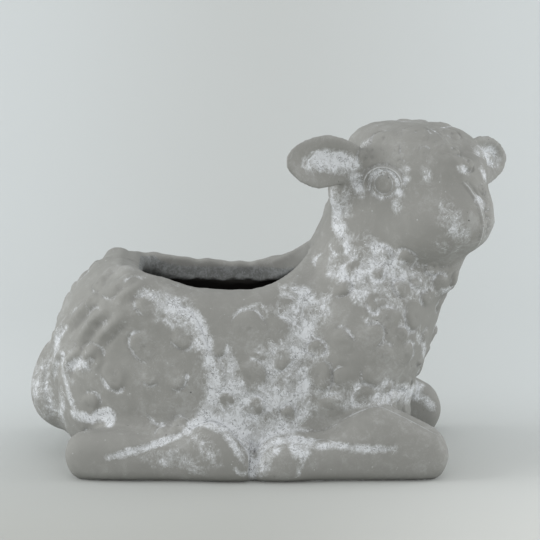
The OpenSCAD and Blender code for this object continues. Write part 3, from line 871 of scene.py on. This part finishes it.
# Where the photograph doesn't reach, the brush goes by chance: how many strokes, how many steps each, the
# step and the half width in mm, the strength and how far the way turns at each step
wander = {"strokes": 34, "steps": (6, 14), "step": 4, "radius": (4, 8), "strength": (0.5, 0.9), "turn": 0.25}
outOfSight = (normals @ np.array(viewBack) < 0.05) | (points[:, 0] < -0.17)
hidden = np.nonzero((onTrunk | onNeck) & outOfSight)[0]
for i in chance.choice(hidden, wander["strokes"], replace=False):
    spot = Vector(points[i])
    facing = Vector(normals[i])
    way = levelAxis(facing, Vector(chance.normal(size=3)))
    side = []
    for _ in range(int(chance.uniform(*wander["steps"]))):
        side.append((spot, facing))
        way = levelAxis(facing, way + Vector(chance.normal(size=3)) * wander["turn"])
        spot, facing = skinTree.find_nearest(spot + way * wander["step"] * mm)[:2]
    brush(side, chance.uniform(*wander["radius"]), chance.uniform(*wander["strength"]))


# The moulding is laid on, and the hollows and edges that it makes are measured

# The rim's waves and the raw casting's ragged edge: height in mm, radians per metre, start
rimWaves = [(1.0, 117, 1.0), (0.6, 263, 2.0), (0.4, 431, 0.0)]
raggedWaves = [(0.7, 190, 0.0), (0.5, 410, 2.0)]
# The worn bottom edge: how high it reaches and how far in, in mm
bottomEdge = {"height": 5, "inwards": 3.2}


def wavesAlong(x, waves):
    return sum(height * np.sin(x * pace + start) for height, pace, start in waves)


print("sculpt: laying it on")
outer = (ownerNames != "trunk_shell") | outward
rimShare = nearRim(points, (0.80, 0.86), (1.04, 1.3))
hold = smoothStep(0.5 * mm, 8 * mm, points[:, 2]) * (1 - 0.75 * rimShare) * outer
points = points + normals * (lift * mm * hold)[:, None]
# the far side of the rim waves more and stands a little higher
farSide = points[:, 1] > 0
wave = wavesAlong(points[:, 0], rimWaves)
points[:, 2] += (wave * np.where(farSide, 0.75, 0.2) + 1.2 * farSide) * rimShare * mm
points = ease(points, edges, np.where(isHead, 0.25, 0.35) * hold, 2, 0)
points[:, 2] = np.maximum(points[:, 2], 0)
lowEdge = np.clip(1 - points[:, 2] / (bottomEdge["height"] * mm), 0, 1) ** 2 * outer
points[:, :2] -= normals[:, :2] * (lowEdge * bottomEdge["inwards"] * mm)[:, None]
counts = np.bincount(edges.ravel(), minlength=pointTotal)
setPoints(skin.data, points)
normals = normalsOf(skin.data)
edgeLength = np.where(isHead, 0.5, 1.0) * skinPlan["voxel"]
bend = ((neighbourMean(points, edges, counts) - points) * normals).sum(1) / edgeLength ** 2 * mm
for _ in range(2):
    bend = (np.bincount(edges[:, 0], bend[edges[:, 1]], pointTotal)
            + np.bincount(edges[:, 1], bend[edges[:, 0]], pointTotal)) / counts * 0.5 + bend * 0.5
cavity = smoothStep(0.004, 0.035, bend)
wornEdge = smoothStep(0.006, 0.04, -bend)
wash = wash * (1 - lumpPlan["wiped"] * clean)

# Inside the mouth: the lip's darker band, and the raw dark casting under its overhang, whose near-black is
# partly its own colour and partly painted shade. How far the rim rises to its ends, where the raw casting
# begins and how much lower at the rear, in mm
insidePlan = {"rearRise": 23, "frontRise": 30, "rawTop": 140.5, "rearDrop": 14,
              "rear": (-112 * mm, -86 * mm)}
alongRim = np.clip(np.abs(points[:, 0] - rim["middle"]) / rim["halfLength"], 0, 1) ** rim["squarer"]
rise = np.where(points[:, 0] < rim["middle"], insidePlan["rearRise"], insidePlan["frontRise"])
depthInside = (rim["lowest"] + rise * mm * alongRim - points[:, 2]) / mm
inside = (ownerNames == "trunk_shell") & ~outward
band = inside * smoothStep(1.0, 3.0, depthInside)
rearDrop = insidePlan["rearDrop"] * (1 - smoothStep(*insidePlan["rear"], points[:, 0]))
rawTop = insidePlan["rawTop"] + wavesAlong(points[:, 0], raggedWaves) - rearDrop
raw = inside * smoothStep(-0.8, 0.8, rawTop - points[:, 2] / mm)
# What the material reads, point by point
fields = {"wash": wash, "lineAway": lineAway, "lineWash": lineWash, "lineShade": lineShade, "cavity": cavity,
          "wornEdge": wornEdge, "band": band, "raw": raw}


# The skin is cut into the pieces of the list, each closed and shut against its neighbours

cutPlan = {"reach": 10 * mm, "overlap": 1.5 * mm, "voxel": 3 * mm, "dust": 5, "innerKept": 0.8}
# What is cut off, and the nodes whose own ground each cut leaves alone
cuts = [
    ("right_ear", ["head"]), ("left_ear", ["head"]), ("tail", ["trunk_shell"]),
    ("right_hindleg", ["trunk_shell"]), ("left_hindleg", ["trunk_shell"]),
    ("right_foreleg", ["trunk_shell", "forequarters"]), ("left_foreleg", ["trunk_shell", "forequarters"]),
    ("forequarters", ["trunk_shell", "head"])]


def grownForm(node, grow):
    form = copyOfNode(node)
    applyModifier(form, "REMESH", mode="VOXEL", voxel_size=cutPlan["voxel"])
    applyModifier(form, "DISPLACE", strength=grow, mid_level=0.0)
    applyModifier(form, "REMESH", mode="VOXEL", voxel_size=cutPlan["voxel"])
    return form


def boolean(obj, other, operation):
    applyModifier(obj, "BOOLEAN", solver="MANIFOLD", operation=operation, object=other)


def remove(obj):
    bpy.data.objects.remove(obj)


def looseParts(obj):
    makeActive(obj)
    bpy.ops.mesh.separate(type="LOOSE")
    return sorted(bpy.context.selected_objects, key=lambda o: len(o.data.vertices), reverse=True)


print("pieces: cutting the skin")
setPoints(skin.data, points)
walls = {node: grownForm(node, cutPlan["overlap"]) for node in ("trunk_shell", "forequarters", "head")}
pieces = {}
for node, against in cuts:
    cutter = grownForm(node, cutPlan["reach"])
    for wall in against:
        boolean(cutter, walls[wall], "DIFFERENCE")
    if node.endswith("leg"):
        # the hind leg and the foreleg part at the cleft between their feet
        bpy.ops.mesh.primitive_cube_add(size=1)
        half = bpy.context.object
        ahead = 0.5 if node.endswith("foreleg") else -0.5
        half.location = (legPlan["cleft"] + ahead, 0, 0)
        boolean(cutter, half, "INTERSECT")
        remove(half)
    piece = bpy.data.objects.new(node + "_cast", skin.data.copy())
    bpy.context.scene.collection.objects.link(piece)
    boolean(piece, cutter, "INTERSECT")
    boolean(skin, cutter, "DIFFERENCE")
    remove(cutter)
    pieces[node] = piece
for wall in walls.values():
    remove(wall)
parts = looseParts(skin)
print("pieces: the rest comes apart into", len(parts))
pieces["trunk_shell"], pieces["head"] = sorted(parts[:2], key=lambda o: pointsOf(o.data)[:, 2].max())
scraps = parts[2:]
for node, piece in pieces.items():
    kept = looseParts(piece) if node not in ("trunk_shell", "head") else [piece]
    scraps.extend(kept[1:])
    pieces[node] = kept[0]
for scrap in scraps:
    # a chip left between two cuts goes back to the piece it belongs to, and the dust is dropped
    middle = pointsOf(scrap.data).mean(0)
    if len(scrap.data.vertices) > cutPlan["dust"]:
        home = stoneNodes[ownersOf([middle])[0]]
        print("pieces: a chip of", len(scrap.data.vertices), "points goes to", home)
        makeActive(pieces[home])
        scrap.select_set(True)
        bpy.ops.object.join()
    else:
        remove(scrap)
for node, piece in pieces.items():
    piece.name = node + "_cast"
    piece.data.name = node + "_cast"

# The hidden inner wall of the trunk can be coarser
trunk = pieces["trunk_shell"]
trunkPoints = pointsOf(trunk.data)
trunkNormals = normalsOf(trunk.data)
isInner = ((trunkPoints - np.array(hollowMiddle)) * trunkNormals).sum(1) < 0
isInner &= (trunkPoints[:, 2] < 0.125) | (nearRim(trunkPoints, (0.5, 0.6), (1.0, 1.1)) < 0.05)
trunk.vertex_groups.new(name="inner").add(np.nonzero(isInner)[0].tolist(), 1.0, "REPLACE")
applyModifier(trunk, "DECIMATE", ratio=cutPlan["innerKept"], vertex_group="inner")
trunk.vertex_groups.clear()

print("pieces: handing over the fields and the skin's own shading")
skinPoints = treeOf(points)
for node, piece in pieces.items():
    mesh = piece.data
    own = pointsOf(mesh)
    nearest = np.array([skinPoints.find(p)[1] for p in own])
    for name, values in fields.items():
        field = mesh.attributes.new(name, "FLOAT", "POINT")
        field.data.foreach_set("value", values[nearest].astype(np.float32))
    makeActive(piece)
    bpy.ops.object.shade_smooth()
    # each corner takes the skin's normal, or its face's own where a cut has turned the face away from it
    cornersEach = readFlat(mesh.polygons, "loop_total", 1, np.int32)
    smooth = normals[nearest][readFlat(mesh.loops, "vertex_index", 1, np.int32)]
    flat = np.repeat(readFlat(mesh.polygons, "normal", 3), cornersEach, axis=0)
    agree = (smooth * flat).sum(1) > 0.45
    mesh.normals_split_custom_set(np.where(agree[:, None], smooth, flat).tolist())
    print("  ", node, len(own), "points")


# Materials. A small wrap round a socket lets the sums be written as sums

class Value:
    def __init__(self, socket):
        self.socket = socket

    def sum(self, operation, first, second):
        node = self.socket.id_data.nodes.new("ShaderNodeMath")
        node.operation = operation
        for place, value in zip(node.inputs, (first, second)):
            feed(place, value)
        return Value(node.outputs[0])

    def __add__(self, other):
        return self.sum("ADD", self, other)

    def __radd__(self, other):
        return self.sum("ADD", other, self)

    def __sub__(self, other):
        return self.sum("SUBTRACT", self, other)

    def __rsub__(self, other):
        return self.sum("SUBTRACT", other, self)

    def __mul__(self, other):
        return self.sum("MULTIPLY", self, other)

    def __rmul__(self, other):
        return self.sum("MULTIPLY", other, self)

    def larger(self, other):
        return self.sum("MAXIMUM", self, other)

    def size(self):
        return self.sum("ABSOLUTE", self, 0.0)


def feed(place, value):
    if isinstance(value, Value):
        place.id_data.links.new(value.socket, place)
    else:
        place.default_value = value


class Finish:
    def __init__(self, name, **uniform):
        self.material = bpy.data.materials.new(name)
        self.material.use_nodes = True
        self.tree = self.material.node_tree
        self.shader = self.tree.nodes["Principled BSDF"]
        for socket, value in uniform.items():
            self.shader.inputs[socket.replace("_", " ")].default_value = value
        self.place = self.node("ShaderNodeTexCoord", {}, {}, "Object")

    def node(self, kind, settings, values, output=0):
        node = self.tree.nodes.new(kind)
        for name, value in settings.items():
            setattr(node, name, value)
        for socket, value in values.items():
            feed(node.inputs[socket], value)
        return Value(node.outputs[output])

    def noise(self, scale, detail=3.0, rough=0.55, stretch=None, bent=0.0):
        place = self.place
        if stretch:
            place = self.node("ShaderNodeMapping", {}, {"Vector": place, "Scale": stretch})
        return self.node("ShaderNodeTexNoise", {}, {"Vector": place, "Scale": scale, "Detail": detail,
                                                    "Roughness": rough, "Distortion": bent})

    def dots(self, scale, core, edge):
        # round dots: 1 within the core, 0 past the edge
        away = self.node("ShaderNodeTexVoronoi", {}, {"Vector": self.place, "Scale": scale}, "Distance")
        return 1 - self.step(away, core, edge)

    def veins(self, scale, detail, rough, bent, core, edge):
        # thin lines, where a noise passes through its middle
        return 1 - self.step((self.noise(scale, detail, rough, bent=bent) - 0.5).size(), core, edge)

    def axis(self, name):
        return self.node("ShaderNodeSeparateXYZ", {}, {"Vector": self.place}, name)

    def field(self, name):
        return self.node("ShaderNodeAttribute", {"attribute_name": name}, {}, "Fac")

    def step(self, value, low, high):
        return self.node("ShaderNodeMapRange", {"interpolation_type": "SMOOTHSTEP"},
                         {"Value": value, "From Min": low, "From Max": high})

    def mix(self, share, first, second):
        return self.node("ShaderNodeMix", {"data_type": "RGBA"}, {0: share, 6: first, 7: second}, 2)

    def bump(self, height, strength, distance):
        return self.node("ShaderNodeBump", {},
                         {"Height": height, "Strength": strength, "Distance": distance})

    def give(self, **inputs):
        for socket, value in inputs.items():
            feed(self.shader.inputs[socket.replace("_", " ")], value)
        return self.material


def grey(r, g, b):
    return (r, g, b, 1.0)


print("materials")
castColours = {"light": grey(0.320, 0.316, 0.298), "dark": grey(0.281, 0.278, 0.261),
               # painted shade: the darker grey for the creases and hollows
               "wash": grey(0.70, 0.715, 0.735), "creaseShade": grey(0.19, 0.188, 0.18),
               # painted shade: the near-black for the dark lines in creases, the pinholes and the wash gaps
               "crackShade": grey(0.085, 0.085, 0.082), "band": grey(0.20, 0.203, 0.198),
               # the near-black raw colour is partly the casting's own dark and partly painted shade in the
               # hollow; the paler deep colour is painted light
               "bandLight": grey(0.33, 0.34, 0.34), "raw": grey(0.020, 0.018, 0.016),
               "deep": grey(0.17, 0.165, 0.15)}
# How much of each finish and of the painted crack shade shows, and how strong the relief of the surface is
castLook = {"cavityWash": 0.16, "edgeWear": 0.08, "film": 0.58, "wisps": 0.95, "dust": 0.14,
            "scratches": 0.42, "flecks": 0.5, "cracks": 0.8, "roughness": 0.82, "bump": 0.6,
            "bumpHeight": 0.9 * mm}


def castStone():
    finish = Finish("cast_stone", Specular_IOR_Level=0.28)
    broad = finish.noise(18, 3)
    middle = finish.noise(95, 4, 0.6, bent=0.8)
    small = finish.noise(300, 4, 0.62, bent=1.6)
    grain = finish.noise(950, 3, 0.65)
    bristles = finish.noise(380, 3, 0.6, stretch=(0.8, 1.0, 0.42), bent=2.0)
    # the dry brush: a soft field broken up by noise at several sizes and by the bristles' streaks
    density = (finish.field("wash") + finish.field("cavity") * castLook["cavityWash"]
               - finish.field("wornEdge") * castLook["edgeWear"])
    patches = finish.step(finish.noise(60, 4, 0.6, bent=1.2), 0.40, 0.60)
    breakup = (patches - 0.5) * 0.5 + (middle - 0.5) * 1.6 + (small - 0.5) * 0.9 + (bristles - 0.5) * 0.9
    here = finish.step(density, 0.02, 0.2)
    thick = finish.step(density + breakup, 0.42, 0.86) * here
    gaps = finish.veins(120, 4, 0.6, 1.6, 0.004, 0.022) * finish.step(middle * 0.5 + small * 0.5, 0.45, 0.53)
    thick = thick * (1 - gaps * 0.85) * (0.78 + finish.step(small * 0.4 + bristles * 0.6, 0.38, 0.60) * 0.26)
    thin = density + (patches - 0.5) * 0.3 + (middle - 0.5) * 1.2 + (bristles - 0.5) * 1.1
    film = finish.step(thin, 0.08, 0.80) * here * castLook["film"] * (1 - gaps * 0.5)
    wisps = finish.veins(95, 3, 0.6, 2.2, 0.003, 0.020)
    wisps = wisps * finish.step(density + (middle - 0.5) * 1.2, 0.14, 0.45) * castLook["wisps"]
    # what is rubbed on everywhere: faint dust and hair-thin scratches
    dust = finish.step(broad * 0.35 + middle * 0.35 + small * 0.3, 0.50, 0.64) * castLook["dust"]
    scratches = finish.veins(75, 3, 0.5, 3.5, 0.001, 0.006)
    scratches = (scratches * finish.step(small, 0.50, 0.62) * finish.step(broad, 0.42, 0.60)
                 * castLook["scratches"])
    away = finish.field("lineAway") + (small - 0.5) * 1.5
    broken = finish.step(middle * 0.4 + small * 0.6, 0.36, 0.54)
    line = (1 - finish.step(away.size(), 0.20, 0.85)) * finish.field("lineWash") * (broken * 0.85 + 0.15)
    # painted shade: the dark middle of the fine lines in creases, round the lumps and round the eye
    crackShade = (1 - finish.step(away.size(), 0.05, 0.40)) * finish.field("lineShade") * (1 - broken * 0.5)
    flecks = finish.dots(170, 0.06, 0.12) * finish.step(middle, 0.52, 0.60) * castLook["flecks"]
    holes = finish.dots(80, 0.03, 0.07) * finish.step(broad * 0.4 + bristles * 0.6, 0.54, 0.57)
    white = thick.larger(film).larger(line).larger(wisps).larger(flecks).larger(scratches).larger(dust)
    mottle = broad * 0.5 + middle * 0.3 + bristles * 0.12 + grain * 0.08
    colour = finish.mix(finish.step(mottle, 0.38, 0.62), castColours["dark"], castColours["light"])
    # painted shade: the creases and hollows are darkened
    colour = finish.mix(finish.field("cavity") * 0.35, colour, castColours["creaseShade"])
    colour = finish.mix(white, colour, castColours["wash"])
    # painted shade: near-black in the lines' dark middles, in the pinholes and in the gaps of thick wash
    darkest = (crackShade * castLook["cracks"]).larger(holes * castLook["cracks"])
    darkest = darkest.larger(gaps * finish.step(density, 0.35, 0.7) * 0.55)
    colour = finish.mix(darkest, colour, castColours["crackShade"])
    bandShade = finish.mix(finish.step(small * 0.5 + middle * 0.3 + bristles * 0.2, 0.42, 0.62),
                           castColours["band"], castColours["bandLight"])
    colour = finish.mix(finish.field("band"), colour, bandShade)
    # painted light: the raw casting is painted paler deep down, where little light comes; higher up its
    # near-black is partly its own dark and partly painted shade
    rawShade = finish.mix(finish.step(finish.axis("Z"), 85 * mm, 118 * mm), castColours["deep"],
                          castColours["raw"])
    colour = finish.mix(finish.field("raw"), colour, rawShade)
    height = (middle * 0.30 + small * 0.10 + grain * 0.04 + thick * 0.25 - gaps * thick * 0.5 + line * 0.25
              - crackShade * 0.9 - holes * 1.0)
    return finish.give(Base_Color=colour, Roughness=castLook["roughness"] + (small - 0.5) * 0.2,
                       Normal=finish.bump(height, castLook["bump"], castLook["bumpHeight"]))


rawColours = {"dark": grey(0.19, 0.183, 0.163), "light": grey(0.27, 0.263, 0.237),
              "hole": grey(0.05, 0.048, 0.044)}
rubberColours = {"dark": grey(0.016, 0.016, 0.016), "light": grey(0.028, 0.028, 0.027)}


def rawStone():
    finish = Finish("raw_stone", Specular_IOR_Level=0.25)
    broad = finish.noise(30, 4)
    grain = finish.noise(420, 4, 0.65)
    holes = finish.dots(160, 0.06, 0.16)
    colour = finish.mix(broad * 0.6 + grain * 0.4, rawColours["dark"], rawColours["light"])
    colour = finish.mix(holes * 0.7, colour, rawColours["hole"])
    return finish.give(Base_Color=colour, Roughness=0.9, Normal=finish.bump(grain - holes, 0.6, 0.6 * mm))


def plugRubber():
    finish = Finish("plug_rubber", Specular_IOR_Level=0.4)
    fine = finish.noise(900, 3)
    colour = finish.mix(fine, rubberColours["dark"], rubberColours["light"])
    return finish.give(Base_Color=colour, Roughness=0.55 + fine * 0.2,
                       Normal=finish.bump(fine, 0.2, 0.2 * mm))


stone = castStone()
for node, piece in pieces.items():
    piece.data.materials.clear()
    piece.data.materials.append(stone)
    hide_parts(node)
    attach(piece, "casting")
for node, material in (("base_plate", rawStone()), ("drain_plug", plugRubber())):
    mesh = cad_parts[node].data
    mesh.materials.clear()
    mesh.materials.append(material)
    makeActive(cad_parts[node])
    bpy.ops.object.shade_smooth_by_angle(angle=math.radians(35))


# The photographer's pale sweep and soft light

print("stage")
sweep = {"front": -1.6, "bend": 0.55, "radius": 1.1, "top": 2.6, "half": 2.4, "steps": 24}
outlineOfSweep = [(sweep["front"], 0.0), (sweep["bend"], 0.0)]
for i in range(1, sweep["steps"] + 1):
    turn = math.radians(90 * i / sweep["steps"])
    outlineOfSweep.append((sweep["bend"] + sweep["radius"] * math.sin(turn),
                           sweep["radius"] * (1 - math.cos(turn))))
outlineOfSweep.append((sweep["bend"] + sweep["radius"], sweep["top"]))
backdropMesh = bpy.data.meshes.new("sweep")
backdropMesh.from_pydata([(side * sweep["half"], y, z) for y, z in outlineOfSweep for side in (-1, 1)], [],
                         [(2 * i, 2 * i + 1, 2 * i + 3, 2 * i + 2) for i in range(len(outlineOfSweep) - 1)])
backdrop = bpy.data.objects.new("sweep", backdropMesh)
bpy.context.scene.collection.objects.link(backdrop)
makeActive(backdrop)
bpy.ops.object.shade_smooth()
paper = Finish("paper", Roughness=0.95, Specular_IOR_Level=0.1)
# painted shade and light on the sweep: the wall is painted a little darker behind the lamb, the floor darker
# than the wall, and the floor brightens to the right, as the light falls
paperColours = {"wallMiddle": grey(0.57, 0.585, 0.575), "wallSides": grey(0.635, 0.66, 0.66),
                "floorLeft": grey(0.455, 0.458, 0.430), "floorRight": grey(0.68, 0.683, 0.655)}
toRight = paper.axis("X")
wall = paper.mix(paper.step(toRight.size(), 0.0, 0.32), paperColours["wallMiddle"],
                 paperColours["wallSides"])
floor = paper.mix(paper.step(toRight, -0.05, 0.28), paperColours["floorLeft"], paperColours["floorRight"])
paper.give(Base_Color=paper.mix(paper.step(paper.axis("Y"), -0.45, 0.30), floor, wall))
# seen from behind it is clear, so that the lamb shows from every side
behind = paper.node("ShaderNodeNewGeometry", {}, {}, "Backfacing")
clear = paper.node("ShaderNodeBsdfTransparent", {}, {})
oneSided = paper.node("ShaderNodeMixShader", {}, {0: behind, 1: Value(paper.shader.outputs[0]), 2: clear})
feed(paper.tree.nodes["Material Output"].inputs["Surface"], oneSided)
backdrop.data.materials.append(paper.material)

daylight = (0.97, 0.99, 1.0)
world = bpy.data.worlds.new("soft_room")
bpy.context.scene.world = world
world.use_nodes = True
sky = world.node_tree.nodes["Background"].inputs
sky["Color"].default_value = grey(*daylight)
sky["Strength"].default_value = 0.68

lights = {
    "window_left": {"place": (-2.0, -0.3, 1.0), "size": (1.4, 1.2), "power": 25, "colour": daylight},
    "window_right": {"place": (2.0, 0.2, 0.9), "size": (1.4, 1.2), "power": 16, "colour": daylight},
    "room": {"place": (0.0, -2.2, 1.1), "size": (2.4, 1.8), "power": 8, "colour": (1.0, 1.0, 0.99)}}
lampsAim = (0, 0, 0.12)
for name, plan in lights.items():
    lamp = bpy.data.lights.new(name, "AREA")
    lamp.shape = "RECTANGLE"
    lamp.size, lamp.size_y = plan["size"]
    lamp.energy = plan["power"]
    lamp.color = plan["colour"]
    light = bpy.data.objects.new(name, lamp)
    bpy.context.scene.collection.objects.link(light)
    light.location = plan["place"]
    light.rotation_euler = (light.location - Vector(lampsAim)).to_track_quat("Z", "Y").to_euler()

for name in ("Cube", "Light", "Camera"):
    if name in bpy.data.objects:
        remove(bpy.data.objects[name])
